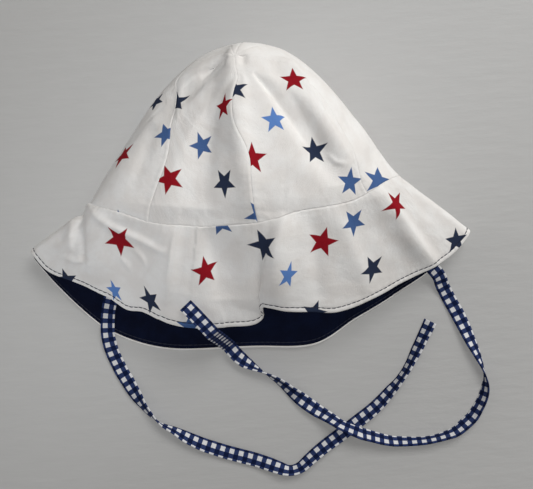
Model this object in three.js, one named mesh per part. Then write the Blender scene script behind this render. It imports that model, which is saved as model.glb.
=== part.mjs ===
// A baby's cotton sun hat with chin ties, lying on its back on a table.
// The crown is six gores of printed cloth with a plain lining inside, and a flared brim is sewn
// to it at the head seam. The back of the hat has sunk flat onto the table, and the front stands up
// in soft folds. Two narrow checked ties start inside the head seam and lie loose on the table.
// Millimetres. The table is z = 0, the crown's top points to +Y, the hat's mouth faces -Y.

import * as THREE from "three";

// Driving sizes
const crownWidth = 188; // across the lying crown, at the sides of the head seam
const crownLength = 90; // from the sides of the head seam to the crown's top edge
const crownHeight = 80; // from the table to the highest point of the front panels
const brimWidth = 68; // from the head seam to the rim, along the cloth
const printedCloth = 1; // thickness of the outer, printed wall
const liningCloth = 1; // thickness of the plain lining
const clothGap = 0.5; // between the printed wall and the lining
const seamGap = 0.4; // between two pieces that are sewn edge to edge
const rimTurnover = 0.9; // how far the printed cloth stands past the lining at the rim
const crownTip = 1.2; // radius of the little opening where the six gores meet
const brimArch = 2.5; // how far the brim's middle stands proud of a straight line
const sideArch = 0.3; // the same at the two sides, where the brim turns under
const tieWidth = 9; // a folded tie, three checks wide
const tieThickness = 1.2;
const tieClearance = 0.5; // under a tie that lies on the table

// How finely the curved cloth is divided
const goreRows = 13;
const brimRows = 5;
const tieSteps = 60;
const planSteps = 150; // places along a tie where its height over what it lies on is found

// Rings of the lying crown, from its top (along 0) to the head seam (along 1). Y is a share of
// crownLength, Z of crownHeight, and half and middle, its place across, of half the crownWidth. A ring
// runs through its front point, which is seen from above, its two side points and its back point,
// which the table then presses flat.
const crownRings = [
  { along: 0.0, half: 0.0, middle: 0.0, frontY: 0.875, frontZ: 0.74, sideY: 0.875, sideZ: 0.74, backY: 0.875, backZ: 0.74 },
  { along: 0.06, half: 0.065, middle: 0.025, frontY: 0.79, frontZ: 0.79, sideY: 0.88, sideZ: 0.73, backY: 0.94, backZ: 0.68 },
  { along: 0.15, half: 0.14, middle: 0.055, frontY: 0.7, frontZ: 0.845, sideY: 0.87, sideZ: 0.69, backY: 0.99, backZ: 0.53 },
  { along: 0.3, half: 0.34, middle: 0.042, frontY: 0.55, frontZ: 0.91, sideY: 0.81, sideZ: 0.62, backY: 1.0, backZ: 0.25 },
  { along: 0.45, half: 0.54, middle: 0.023, frontY: 0.39, frontZ: 0.96, sideY: 0.65, sideZ: 0.56, backY: 0.86, backZ: -0.03 },
  { along: 0.6, half: 0.7, middle: 0.01, frontY: 0.235, frontZ: 0.99, sideY: 0.455, sideZ: 0.52, backY: 0.6, backZ: -0.13 },
  { along: 0.75, half: 0.843, middle: -0.007, frontY: 0.08, frontZ: 1.0, sideY: 0.26, sideZ: 0.49, backY: 0.29, backZ: -0.17 },
  { along: 0.9, half: 0.946, middle: -0.01, frontY: -0.09, frontZ: 0.97, sideY: 0.09, sideZ: 0.47, backY: -0.08, backZ: -0.18 },
  { along: 1.0, half: 1.0, middle: 0.0, frontY: -0.2, frontZ: 0.92, sideY: 0.0, sideZ: 0.46, backY: -0.35, backZ: -0.18 },
];

// The turn in degrees of each gore seam, at the crown's top and at its base, the place along the crown
// where it has reached its base turn, and the number of strips that the gore after it is divided into.
// 0 is the right side, 90 the front, 180 the left side and 270 the back.
const goreSeams = [
  { name: "right", top: 5, base: 40, settled: 0.95, strips: 7 },
  { name: "front", top: 112, base: 87, settled: 0.7, strips: 7 },
  { name: "left", top: 200, base: 128.5, settled: 0.74, strips: 12 },
  { name: "back_left", top: 234, base: 218, settled: 0.9, strips: 7 },
  { name: "back", top: 270, base: 268, settled: 0.9, strips: 8 },
  { name: "back_right", top: 318, base: 332, settled: 0.9, strips: 11 },
];

// Soft folds and dents of the crown. Each runs from one turn at its top end to another at its lower
// end, between two places along the gores. Spread is degrees of turn, lift a share of crownHeight.
const crownFolds = [
  { name: "hollow left of the front seam", topTurn: 121, lowTurn: 108, from: 0.1, to: 1.04, spread: 8, lift: -0.02 },
  { name: "ridge along the front seam", topTurn: 94, lowTurn: 85, from: 0.1, to: 1.0, spread: 7, lift: 0.03 },
  { name: "ridge of the left gore", topTurn: 130, lowTurn: 114, from: 0.25, to: 1.05, spread: 10, lift: 0.025 },
  { name: "hollow of the right gore", topTurn: 58, lowTurn: 51, from: 0.12, to: 0.88, spread: 6, lift: -0.085 },
  { name: "ridge beside the right seam", topTurn: 42, lowTurn: 37, from: 0.15, to: 0.9, spread: 7, lift: 0.035 },
  { name: "dent at the top left", topTurn: 172, lowTurn: 166, from: 0.12, to: 0.5, spread: 13, lift: -0.07 },
];

// Where the rim lies from the head seam, at each turn, as shares of brimWidth.
const rimOffsets = [
  { turn: 4, x: 0.618, y: -0.55, z: -0.345 },
  { turn: 11, x: 0.5, y: -0.66, z: -0.41 },
  { turn: 24, x: 0.39, y: -0.71, z: -0.47 },
  { turn: 41, x: 0.27, y: -0.78, z: -0.51 },
  { turn: 53, x: 0.18, y: -0.86, z: -0.46 },
  { turn: 63, x: 0.08, y: -0.91, z: -0.4 },
  { turn: 70, x: -0.02, y: -0.87, z: -0.34 },
  { turn: 76, x: -0.08, y: -0.83, z: -0.31 },
  { turn: 80, x: -0.1, y: -0.77, z: -0.34 },
  { turn: 83, x: -0.08, y: -0.78, z: -0.44 },
  { turn: 87, x: -0.02, y: -0.86, z: -0.56 },
  { turn: 92, x: 0.02, y: -0.93, z: -0.57 },
  { turn: 99, x: 0.0, y: -0.94, z: -0.53 },
  { turn: 108, x: -0.09, y: -0.935, z: -0.46 },
  { turn: 116, x: -0.17, y: -0.885, z: -0.43 },
  { turn: 124, x: -0.24, y: -0.78, z: -0.47 },
  { turn: 130, x: -0.285, y: -0.765, z: -0.5 },
  { turn: 137, x: -0.34, y: -0.65, z: -0.53 },
  { turn: 151, x: -0.43, y: -0.555, z: -0.52 },
  { turn: 168, x: -0.56, y: -0.49, z: -0.43 },
  { turn: 176, x: -0.64, y: -0.38, z: -0.353 },
  { turn: 183, x: -0.654, y: -0.36, z: -0.346 },
  { turn: 190, x: -0.56, y: -0.456, z: -0.265 },
  { turn: 205, x: -0.38, y: -0.676, z: -0.1 },
  { turn: 224, x: -0.33, y: -0.82, z: 0.0 },
  { turn: 248, x: -0.25, y: -0.95, z: 0.0 },
  { turn: 268, x: -0.11, y: -0.97, z: 0.05 },
  { turn: 286, x: 0.0, y: -1.015, z: 0.06 },
  { turn: 302, x: 0.08, y: -0.845, z: 0.03 },
  { turn: 327, x: 0.17, y: -0.72, z: 0.0 },
  { turn: 349, x: 0.368, y: -0.647, z: -0.243 },
  { turn: 357, x: 0.61, y: -0.53, z: -0.338 },
];
const sharpFold = { from: 66, to: 96 }; // the turns where the rim doubles back on itself, cut finer

// The plan of each tie on the table, from where it is sewn in to its free end. Roll is how far it has
// turned on its edge, in degrees. Its height comes from whatever it lies on.
const leftTieRoute = [
  { x: -75, y: -24, roll: 0 },
  { x: -85, y: -42, roll: 0 },
  { x: -93, y: -61, roll: 0 },
  { x: -96, y: -76, roll: 0 },
  { x: -95.5, y: -89, roll: 0 },
  { x: -91, y: -103, roll: 0 },
  { x: -86.5, y: -112.5, roll: 8 },
  { x: -82, y: -121, roll: 25 },
  { x: -78, y: -128, roll: 51 },
  { x: -73.5, y: -134.5, roll: 66 },
  { x: -67.5, y: -141, roll: 90 },
  { x: -59, y: -146, roll: 112 },
  { x: -50, y: -152, roll: 139 },
  { x: -41, y: -157, roll: 154 },
  { x: -27, y: -163, roll: 168 },
  { x: -13, y: -168, roll: 170 },
  { x: -3, y: -172, roll: 163 },
  { x: 4, y: -175, roll: 148 },
  { x: 11, y: -177.5, roll: 128 },
  { x: 17.5, y: -176.5, roll: 132 },
  { x: 24, y: -172, roll: 142 },
  { x: 31, y: -167, roll: 150 },
  { x: 42, y: -160, roll: 160 },
  { x: 54, y: -152.5, roll: 160 },
  { x: 67.5, y: -143.5, roll: 150 },
  { x: 74, y: -138, roll: 143 },
  { x: 79.5, y: -132.5, roll: 132 },
  { x: 85, y: -127, roll: 118 },
  { x: 90, y: -121, roll: 117 },
  { x: 94, y: -115, roll: 121 },
  { x: 98, y: -108.5, roll: 132 },
  { x: 102, y: -102, roll: 136 },
  { x: 108.5, y: -91, roll: 148 },
];
const rightTieRoute = [
  { x: 80, y: -22, roll: 0 },
  { x: 98, y: -42, roll: 0 },
  { x: 114, y: -60, roll: 0 },
  { x: 118, y: -69, roll: 0 },
  { x: 122.5, y: -79, roll: 0 },
  { x: 126.5, y: -88.5, roll: -5 },
  { x: 130, y: -97.5, roll: -20 },
  { x: 133, y: -106, roll: -35 },
  { x: 136, y: -114, roll: -52 },
  { x: 138.5, y: -121.5, roll: -70 },
  { x: 140, y: -129, roll: -90 },
  { x: 139.5, y: -136, roll: -114 },
  { x: 137.5, y: -142, roll: -124 },
  { x: 134, y: -148, roll: -129 },
  { x: 130, y: -153.5, roll: -136 },
  { x: 124.5, y: -158, roll: -136 },
  { x: 118.5, y: -162, roll: -128 },
  { x: 112, y: -164, roll: -118 },
  { x: 104, y: -165.5, roll: -114 },
  { x: 95, y: -166, roll: -117 },
  { x: 78, y: -164.5, roll: -128 },
  { x: 62.5, y: -159, roll: -136 },
  { x: 56, y: -156, roll: -136 },
  { x: 50, y: -153, roll: -130 },
  { x: 44, y: -149.5, roll: -130 },
  { x: 37.5, y: -145, roll: -141 },
  { x: 31.5, y: -141, roll: -156 },
  { x: 25, y: -135.5, roll: -173 },
  { x: 18, y: -129, roll: -213 },
  { x: 11.5, y: -122.5, roll: -235 },
  { x: 5.5, y: -117.5, roll: -250 },
  { x: -0.5, y: -113.5, roll: -270 },
  { x: -6.5, y: -109.5, roll: -300 },
  { x: -11, y: -106, roll: -326 },
  { x: -15.5, y: -101.5, roll: -350 },
  { x: -19.5, y: -96, roll: -360 },
  { x: -23.5, y: -90, roll: -362 },
  { x: -28, y: -83.5, roll: -362 },
  { x: -34, y: -75, roll: -362 },
  { x: -42, y: -65, roll: -362 },
];
const rightTieClimb = 0.7; // the share of the right tie after which it lies on the front brim

const degrees = Math.PI / 180;

// A smooth curve through one column of a table, with the slope at each row taken from its neighbours.
// A table with a period runs round and joins its own start.
function sample(table, key, column, at, period = 0) {
  const count = table.length;
  const row = (i) => {
    const lap = Math.floor(i / count);
    const inside = i - lap * count;
    if (period) return { at: table[inside][key] + lap * period, value: table[inside][column] };
    const kept = Math.min(count - 1, Math.max(0, i));
    return { at: table[kept][key], value: table[kept][column] };
  };
  const place = period ? at - Math.floor((at - table[0][key]) / period) * period : at;
  let i = 0;
  while (i < count - (period ? 1 : 2) && row(i + 1).at <= place) i += 1;
  const [before, start, end, after] = [row(i - 1), row(i), row(i + 1), row(i + 2)];
  const length = end.at - start.at;
  const slope = (a, b) => (b.value - a.value) / (b.at - a.at || length);
  const t = Math.min(1, Math.max(0, (place - start.at) / length));
  return THREE.MathUtils.lerp(start.value, end.value, t * t * (3 - 2 * t)) +
    length * t * (1 - t) * ((1 - t) * slope(before, end) - t * slope(start, after));
}

// How far a fold lifts the cloth at a turn: a bell across it, fading at both of its ends.
function foldLift(fold, turn, along) {
  const share = (along - fold.from) / (fold.to - fold.from);
  if (share <= 0 || share >= 1) return 0;
  const middle = THREE.MathUtils.lerp(fold.topTurn, fold.lowTurn, share);
  const fade = Math.sin(Math.PI * share) ** 0.7;
  return fold.lift * crownHeight * fade * Math.exp(-(((turn - middle) / fold.spread) ** 2));
}

// A point of the crown's outside: an oval through the ring's front, side and back points.
function crownPoint(turn, along) {
  const at = (column) => sample(crownRings, "along", column, along);
  const sine = Math.sin(turn * degrees);
  const isFront = sine >= 0;
  const round = THREE.MathUtils.smoothstep(along, 0.05, 0.5);
  const reachX = Math.abs(Math.cos(turn * degrees)) ** THREE.MathUtils.lerp(1, isFront ? 1 : 0.8, round);
  const reachY = Math.abs(sine) ** THREE.MathUtils.lerp(1, isFront ? 1 : 0.7, round);
  const reachZ = Math.abs(sine) ** THREE.MathUtils.lerp(1, isFront ? 0.8 : 0.7, round);
  const across = at("middle") + at("half") * reachX * Math.sign(Math.cos(turn * degrees));
  const x = (crownWidth / 2) * across;
  const y = crownLength * THREE.MathUtils.lerp(at("sideY"), at(isFront ? "frontY" : "backY"), reachY);
  const z = crownHeight * THREE.MathUtils.lerp(at("sideZ"), at(isFront ? "frontZ" : "backZ"), reachZ);
  const wrapped = ((turn % 360) + 360) % 360;
  const lift = crownFolds.reduce((sum, fold) => sum + foldLift(fold, wrapped, along), 0);
  const outward = Math.cos(turn * degrees);
  return new THREE.Vector3(x + lift * outward, y, Math.max(0, z + lift * Math.abs(sine)));
}

// A point of the hat's outside. Reach runs from 0 at the crown's top over 1 at the head seam to 2
// at the rim. The brim is a straight line from seam to rim at each turn, a little arched.
function hatPoint(turn, reach) {
  const seam = crownPoint(turn, Math.min(1, reach));
  if (reach <= 1) return seam;
  const out = reach - 1;
  const offset = (column) => brimWidth * sample(rimOffsets, "turn", column, turn, 360);
  const point = new THREE.Vector3(offset("x"), offset("y"), offset("z")).multiplyScalar(out).add(seam);
  const arch = Math.sin(Math.PI * out);
  const sideways = Math.cos(turn * degrees) ** 5;
  point.x += sideArch * 0.6 * arch * sideways;
  point.y += sideArch * 0.8 * arch * Math.abs(sideways);
  point.z = Math.max(0, point.z + brimArch * arch * Math.max(0, Math.sin(turn * degrees)));
  return point;
}

// The outward direction of the cloth. Across the head seam it halves the angle between both sides.
function hatNormal(turn, reach) {
  const around = hatPoint(turn + 0.5, reach).sub(hatPoint(turn - 0.5, reach));
  const here = hatPoint(turn, reach);
  const up = here.clone().sub(hatPoint(turn, Math.max(0.002, reach - 0.02))).normalize();
  const down = hatPoint(turn, Math.min(2, reach + 0.02)).sub(here).normalize();
  return around.cross(up.add(down)).normalize();
}

// Puts triangles into a geometry, with a flat colourless surface.
function toGeometry(points, triangles) {
  const geometry = new THREE.BufferGeometry();
  geometry.setAttribute("position", new THREE.Float32BufferAttribute(points.flatMap((p) => p.toArray()), 3));
  geometry.setIndex(triangles.flat());
  geometry.computeVertexNormals();
  return geometry;
}

// A wall of cloth between two depths under the hat's outside. placeAt gives the turn and the reach
// of each column and row. A closed wall runs all the way round, and a capped one ends at the top.
function clothWall({ columns, rows, placeAt, outerDepth, thickness, closed, capped }) {
  const points = [];
  const index = [];
  const columnCount = closed ? columns : columns + 1;
  for (const depth of [outerDepth, outerDepth + thickness]) {
    for (let i = 0; i < columnCount; i += 1) {
      for (let j = 0; j <= rows; j += 1) {
        const { turn, reach } = placeAt(i, j);
        const isPole = capped && j === 0;
        if (isPole && i > 0) {
          index.push(index[index.length - i * (rows + 1)]);
          continue;
        }
        index.push(points.length);
        points.push(hatPoint(turn, reach).addScaledVector(hatNormal(turn, reach), -depth));
      }
    }
  }
  const inner = columnCount * (rows + 1);
  const vertex = (i, j, layer = 0) => index[layer * inner + (i % columnCount) * (rows + 1) + j];
  const triangles = [];
  const quad = (a, b, c, d) => {
    if (a !== b) triangles.push([a, b, c]);
    if (c !== d) triangles.push([a, c, d]);
  };
  for (let i = 0; i < columns; i += 1) {
    for (let j = 0; j < rows; j += 1) {
      const [a, b, c, d] = [[i, j], [i + 1, j], [i + 1, j + 1], [i, j + 1]];
      quad(vertex(...a), vertex(...b), vertex(...c), vertex(...d));
      const [ai, bi, ci, di] = [a, b, c, d].map((place) => vertex(...place, 1));
      if (ai !== bi) triangles.push([ai, ci, bi]);
      triangles.push([ai, di, ci]);
    }
    if (!capped) quad(vertex(i + 1, 0), vertex(i, 0), vertex(i, 0, 1), vertex(i + 1, 0, 1));
    quad(vertex(i, rows), vertex(i + 1, rows), vertex(i + 1, rows, 1), vertex(i, rows, 1));
  }
  for (let j = 0; !closed && j < rows; j += 1) {
    quad(vertex(0, j), vertex(0, j + 1), vertex(0, j + 1, 1), vertex(0, j, 1));
    quad(vertex(columns, j + 1), vertex(columns, j), vertex(columns, j, 1), vertex(columns, j + 1, 1));
  }
  return toGeometry(points, triangles);
}

// The turn of a gore seam at a place along it. Seams past the last one start a new lap.
function seamTurn(number, along) {
  const seam = goreSeams[number % goreSeams.length];
  const share = THREE.MathUtils.smoothstep(along, 0, seam.settled);
  return THREE.MathUtils.lerp(seam.top, seam.base, share) + 360 * Math.floor(number / goreSeams.length);
}

// How many degrees of turn half a seam's gap takes up there.
function gapTurn(turn, along) {
  return seamGap / 2 / hatPoint(turn + 0.5, along).distanceTo(hatPoint(turn - 0.5, along));
}

// Rows of a gore lie closer together near the crown's top, where it curves most.
function goreReach(row) {
  const panelLength = 1.7 * crownLength;
  const share = (row / goreRows) ** 1.15;
  return THREE.MathUtils.lerp(crownTip / panelLength, 1 - seamGap / 2 / panelLength, share);
}

function gore(number) {
  const { strips } = goreSeams[number];
  return clothWall({
    columns: strips,
    rows: goreRows,
    outerDepth: 0,
    thickness: printedCloth,
    placeAt: (i, j) => {
      const reach = goreReach(j);
      const [start, end] = [seamTurn(number, reach), seamTurn(number + 1, reach)];
      const turn = THREE.MathUtils.lerp(start + gapTurn(start, reach), end - gapTurn(end, reach), i / strips);
      return { turn, reach };
    },
  });
}

// Every strip of every gore, going round, as its gore's number and its place in that gore.
const allStrips = goreSeams.flatMap(({ strips }, number) =>
  Array.from({ length: strips }, (_, i) => ({ number, share: i / strips })),
);

function stripTurn({ number, share }, reach) {
  return THREE.MathUtils.lerp(seamTurn(number, reach), seamTurn(number + 1, reach), share);
}

function crownLining() {
  return clothWall({
    columns: allStrips.length,
    rows: goreRows,
    outerDepth: printedCloth + clothGap,
    thickness: liningCloth,
    closed: true,
    capped: true,
    placeAt: (i, j) => {
      const reach = goreReach(j);
      return { turn: stripTurn(allStrips[i], reach), reach };
    },
  });
}

// The brim is divided at the strips of the gores, and twice as finely where it folds sharply.
function brimTurns() {
  const turns = [];
  const starts = allStrips.map((strip) => stripTurn(strip, 1));
  starts.forEach((turn, i) => {
    const next = i + 1 < starts.length ? starts[i + 1] : starts[0] + 360;
    turns.push(turn);
    if (turn > sharpFold.from && turn < sharpFold.to) turns.push((turn + next) / 2);
  });
  return turns;
}

function brimWall(outerDepth, thickness, rimShort) {
  const turns = brimTurns();
  const first = 1 + seamGap / 2 / brimWidth;
  const last = 2 - rimShort / brimWidth;
  return clothWall({
    columns: turns.length,
    rows: brimRows,
    outerDepth,
    thickness,
    closed: true,
    placeAt: (i, j) => ({ turn: turns[i], reach: THREE.MathUtils.lerp(first, last, j / brimRows) }),
  });
}

// A stretch of the hat's cloth at a depth under its outside, as triangles to find its height by.
function clothPatch({ fromTurn, toTurn, depth }) {
  const [columns, rows, fromReach] = [40, 12, 0.8];
  const corner = (i, j) => {
    const turn = THREE.MathUtils.lerp(fromTurn, toTurn, i / columns);
    const reach = THREE.MathUtils.lerp(fromReach, 2, j / rows);
    return hatPoint(turn, reach).addScaledVector(hatNormal(turn, reach), -depth);
  };
  const grid = Array.from({ length: columns + 1 }, (_, i) =>
    Array.from({ length: rows + 1 }, (__, j) => corner(i, j)),
  );
  const triangles = [];
  for (let i = 0; i < columns; i += 1) {
    for (let j = 0; j < rows; j += 1) {
      triangles.push([grid[i][j], grid[i + 1][j], grid[i + 1][j + 1]]);
      triangles.push([grid[i][j], grid[i + 1][j + 1], grid[i][j + 1]]);
    }
  }
  return triangles;
}

// The highest place of a patch straight above or below a point of the table, or the table itself.
function patchHeight(patch, x, y) {
  let highest = 0;
  for (const [a, b, c] of patch) {
    const area = (b.x - a.x) * (c.y - a.y) - (c.x - a.x) * (b.y - a.y);
    const shareB = ((x - a.x) * (c.y - a.y) - (c.x - a.x) * (y - a.y)) / area;
    const shareC = ((b.x - a.x) * (y - a.y) - (x - a.x) * (b.y - a.y)) / area;
    if (shareB < 0 || shareC < 0 || shareB + shareC > 1) continue;
    highest = Math.max(highest, a.z + shareB * (b.z - a.z) + shareC * (c.z - a.z));
  }
  return highest;
}

// The centre line of a tie: its plan is a smooth curve, and its height is what it lies on with half
// its own section on top, smoothed so that it bends softly up and down.
function tieLine(route, heightAt) {
  const plan = new THREE.CatmullRomCurve3(route.map(({ x, y }) => new THREE.Vector3(x, y, 0)));
  const rolls = route.map(({ roll }, i) => ({ at: i / (route.length - 1), roll }));
  const rollAt = (share) => sample(rolls, "at", "roll", share);
  const places = Array.from({ length: planSteps + 1 }, (_, i) => {
    const share = i / planSteps;
    const [centre, ahead] = [plan.getPoint(share), plan.getTangent(share)];
    const roll = rollAt(share) * degrees;
    const halfWidth = (tieWidth / 2) * Math.abs(Math.cos(roll)) + tieThickness / 2;
    const under = [-1, -0.5, 0, 0.5, 1].map((side) =>
      heightAt(centre.x - ahead.y * side * halfWidth, centre.y + ahead.x * side * halfWidth, share),
    );
    const lift = (tieWidth / 2) * Math.abs(Math.sin(roll)) + (tieThickness / 2) * Math.abs(Math.cos(roll));
    return { centre, height: Math.max(...under) + tieClearance + lift };
  });
  const window = (heights, i) => heights.slice(Math.max(0, i - 3), i + 4);
  const highest = places.map((_, i) => Math.max(...window(places.map(({ height }) => height), i)));
  const mean = (list) => list.reduce((sum, value) => sum + value, 0) / list.length;
  const soft = highest.map((_, i) => mean(window(highest, i)));
  const line = new THREE.CatmullRomCurve3(places.map(({ centre }, i) => centre.setZ(soft[i])));
  return { line, rollAt };
}

// A flat folded tie: an oblong section with softened corners, carried along its centre line.
function tie({ line, rollAt }) {
  const section = [];
  for (const [side, top] of [[1, -1], [1, 1], [-1, 1], [-1, -1]]) {
    const edge = [(side * tieWidth) / 2, (top * tieThickness) / 4];
    const face = [side * (tieWidth / 2 - tieThickness / 2), (top * tieThickness) / 2];
    section.push(...(side === top ? [edge, face] : [face, edge]));
  }
  const points = [];
  for (let step = 0; step <= tieSteps; step += 1) {
    const share = step / tieSteps;
    const centre = line.getPointAt(share);
    const ahead = line.getTangentAt(share);
    const roll = rollAt(line.getUtoTmapping(share)) * degrees;
    const level = new THREE.Vector3(-ahead.y, ahead.x, 0).normalize();
    const upright = ahead.clone().cross(level);
    const across = level.clone().multiplyScalar(Math.cos(roll)).addScaledVector(upright, Math.sin(roll));
    const facing = ahead.clone().cross(across);
    for (const [a, b] of section) {
      points.push(centre.clone().addScaledVector(across, a).addScaledVector(facing, b));
    }
  }
  const sides = section.length;
  const triangles = [];
  for (let step = 0; step < tieSteps; step += 1) {
    for (let k = 0; k < sides; k += 1) {
      const [a, b] = [step * sides + k, step * sides + ((k + 1) % sides)];
      triangles.push([a, b, b + sides], [a, b + sides, a + sides]);
    }
  }
  const last = tieSteps * sides;
  for (let k = 1; k < sides - 1; k += 1) {
    triangles.push([0, k + 1, k], [last, last + k, last + k + 1]);
  }
  return toGeometry(points, triangles);
}

const insideDepth = printedCloth + clothGap + liningCloth;
const backInside = clothPatch({ fromTurn: 176, toTurn: 364, depth: insideDepth });
const frontOutside = clothPatch({ fromTurn: 20, toTurn: 160, depth: 0 });

const leftTieLine = tieLine(leftTieRoute, (x, y) => patchHeight(backInside, x, y));
const leftTiePlaces = leftTieLine.line.getSpacedPoints(planSteps);

// How high the left tie's upper side is over a point of the table, where it passes there.
function leftTieTop(x, y) {
  const crossed = leftTiePlaces.filter((place) => Math.hypot(place.x - x, place.y - y) < tieWidth * 0.6);
  return crossed.reduce((top, place) => Math.max(top, 2 * place.z + tieClearance), 0);
}

const rightTieLine = tieLine(rightTieRoute, (x, y, share) =>
  Math.max(
    patchHeight(backInside, x, y),
    leftTieTop(x, y),
    share > rightTieClimb ? patchHeight(frontOutside, x, y) : 0,
  ),
);

const printedCotton = new THREE.MeshStandardMaterial({ color: 0xe6e2dd, roughness: 0.9, metalness: 0 });
const navyCotton = new THREE.MeshStandardMaterial({ color: 0x0b1630, roughness: 0.9, metalness: 0 });
const checkedCotton = new THREE.MeshStandardMaterial({ color: 0x4a5a86, roughness: 0.9, metalness: 0 });

function piece(name, geometry, material) {
  const mesh = new THREE.Mesh(geometry, material);
  mesh.name = name;
  return mesh;
}

const hat = new THREE.Group();
hat.name = "sun_hat";

const crown = new THREE.Group();
goreSeams.forEach((seam, number) => {
  const next = goreSeams[(number + 1) % goreSeams.length];
  crown.add(piece(`crown_gore_${seam.name}_to_${next.name}`, gore(number), printedCotton));
});
crown.add(piece("crown_lining", crownLining(), navyCotton));
hat.add(crown);

const brim = new THREE.Group();
brim.add(piece("brim", brimWall(0, printedCloth, 0), printedCotton));
brim.add(piece("brim_lining", brimWall(printedCloth + clothGap, liningCloth, rimTurnover), navyCotton));
hat.add(brim);

hat.add(piece("tie_left", tie(leftTieLine), checkedCotton));
hat.add(piece("tie_right", tie(rightTieLine), checkedCotton));

export default hat;
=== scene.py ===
# %% [markdown]
# # A baby's sun hat with checked ties
# The hat is six printed cotton gores sewn into a crown, a brim of the same print, a navy lining and two
# ties of gingham. It lies on its back, seen from straight above. The first cell loads the solid model as
# a fixed frame. Every surface below is worked out in millimetres, in that frame, and becomes metres only
# when it is put into a mesh.

import bmesh
import bpy
import numpy as np
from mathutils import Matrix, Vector


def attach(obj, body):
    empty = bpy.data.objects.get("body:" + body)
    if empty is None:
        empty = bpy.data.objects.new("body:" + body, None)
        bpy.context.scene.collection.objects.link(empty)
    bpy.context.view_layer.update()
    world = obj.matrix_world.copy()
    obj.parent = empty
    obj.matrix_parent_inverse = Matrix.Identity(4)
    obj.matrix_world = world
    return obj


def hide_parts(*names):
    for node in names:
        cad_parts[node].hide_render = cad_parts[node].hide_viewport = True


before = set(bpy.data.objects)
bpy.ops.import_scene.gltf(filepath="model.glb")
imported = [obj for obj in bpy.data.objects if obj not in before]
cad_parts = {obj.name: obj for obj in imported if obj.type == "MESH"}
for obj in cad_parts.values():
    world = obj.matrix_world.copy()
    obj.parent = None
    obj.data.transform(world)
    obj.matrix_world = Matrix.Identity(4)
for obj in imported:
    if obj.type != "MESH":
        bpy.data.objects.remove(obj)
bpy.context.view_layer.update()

MM = 0.001

# %% [markdown]
# ## The camera
# The photographer stood over the table and looked straight down. A camera is one position, one turn and
# one focal length, so three numbers found once from the picture's proportions are enough, and the same
# numbers let a place in the picture be found again on the cloth.

# %% Camera
CAMERA = np.array([9.10, -33.38, 753.8])
CAMERA_TURN = np.radians(5.0)
FOCAL = 1180.56
PICTURE = (533, 489)

SENSOR = 36.0


def put_in_scene(name, data):
    """A new object that holds the data, at the origin."""
    thing = bpy.data.objects.new(name, data)
    bpy.context.scene.collection.objects.link(thing)
    return thing


camera_data = bpy.data.cameras.new("camera")
camera_data.sensor_width = SENSOR
camera_data.lens = FOCAL * SENSOR / PICTURE[0]
camera = put_in_scene("camera", camera_data)
camera.location = tuple(CAMERA * MM)
camera.rotation_euler = (0.0, 0.0, -CAMERA_TURN)
bpy.context.scene.camera = camera
print("lens", round(camera_data.lens, 2), "mm")


def to_picture(points):
    """Where points fall in the picture: turned by the camera's turn, then divided by their depth."""
    d = points - CAMERA
    right = np.cos(CAMERA_TURN) * d[..., 0] - np.sin(CAMERA_TURN) * d[..., 1]
    up = np.sin(CAMERA_TURN) * d[..., 0] + np.cos(CAMERA_TURN) * d[..., 1]
    depth = -d[..., 2]
    return np.stack([PICTURE[0] / 2 + FOCAL * right / depth, PICTURE[1] / 2 - FOCAL * up / depth], -1)


# %% [markdown]
# ## The lying hat as one function
# A sewn hat is a surface of revolution that has collapsed, so it has two natural parameters: the turn
# round it, and the reach from the crown's top (0) over the head seam (1) to the rim (2). A table gives
# the ring through front, side and back at a few places, and a smooth curve fills in the rest. A sculpted
# mesh could look the same, but it would know nothing of seams, and the print and the stitches need them.

# %% Sizes and tables of the hat, in millimetres
CROWN_WIDTH, CROWN_LENGTH, CROWN_HEIGHT, BRIM_WIDTH = 188.0, 90.0, 80.0, 68.0
BRIM_ARCH, SIDE_ARCH = 2.5, 0.3
PANEL_LENGTH = 1.7 * CROWN_LENGTH

# along, half width, middle, then Y and Z of the front, the sides and the back
RINGS = np.array([
    [0.0, 0.0, 0.0, 0.875, 0.74, 0.875, 0.74, 0.875, 0.74],
    [0.06, 0.065, 0.025, 0.79, 0.79, 0.88, 0.73, 0.94, 0.68],
    [0.15, 0.14, 0.055, 0.7, 0.845, 0.87, 0.69, 0.99, 0.53],
    [0.3, 0.34, 0.042, 0.55, 0.91, 0.81, 0.62, 1.0, 0.25],
    [0.45, 0.54, 0.023, 0.39, 0.96, 0.65, 0.56, 0.86, -0.03],
    [0.6, 0.7, 0.01, 0.235, 0.99, 0.455, 0.52, 0.6, -0.13],
    [0.75, 0.843, -0.007, 0.08, 1.0, 0.26, 0.49, 0.29, -0.17],
    [0.9, 0.946, -0.01, -0.09, 0.97, 0.09, 0.47, -0.08, -0.18],
    [1.0, 1.0, 0.0, -0.2, 0.92, 0.0, 0.46, -0.35, -0.18],
])
# the large folds of the crown: turn at the top and below, from, to, spread, lift
CROWN_FOLDS = [
    (121, 108, 0.1, 1.04, 8, -0.02), (94, 85, 0.1, 1.0, 7, 0.03), (130, 114, 0.25, 1.05, 10, 0.025),
    (58, 51, 0.12, 0.88, 6, -0.085), (42, 37, 0.15, 0.9, 7, 0.035), (172, 166, 0.12, 0.5, 13, -0.07),
]
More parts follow.
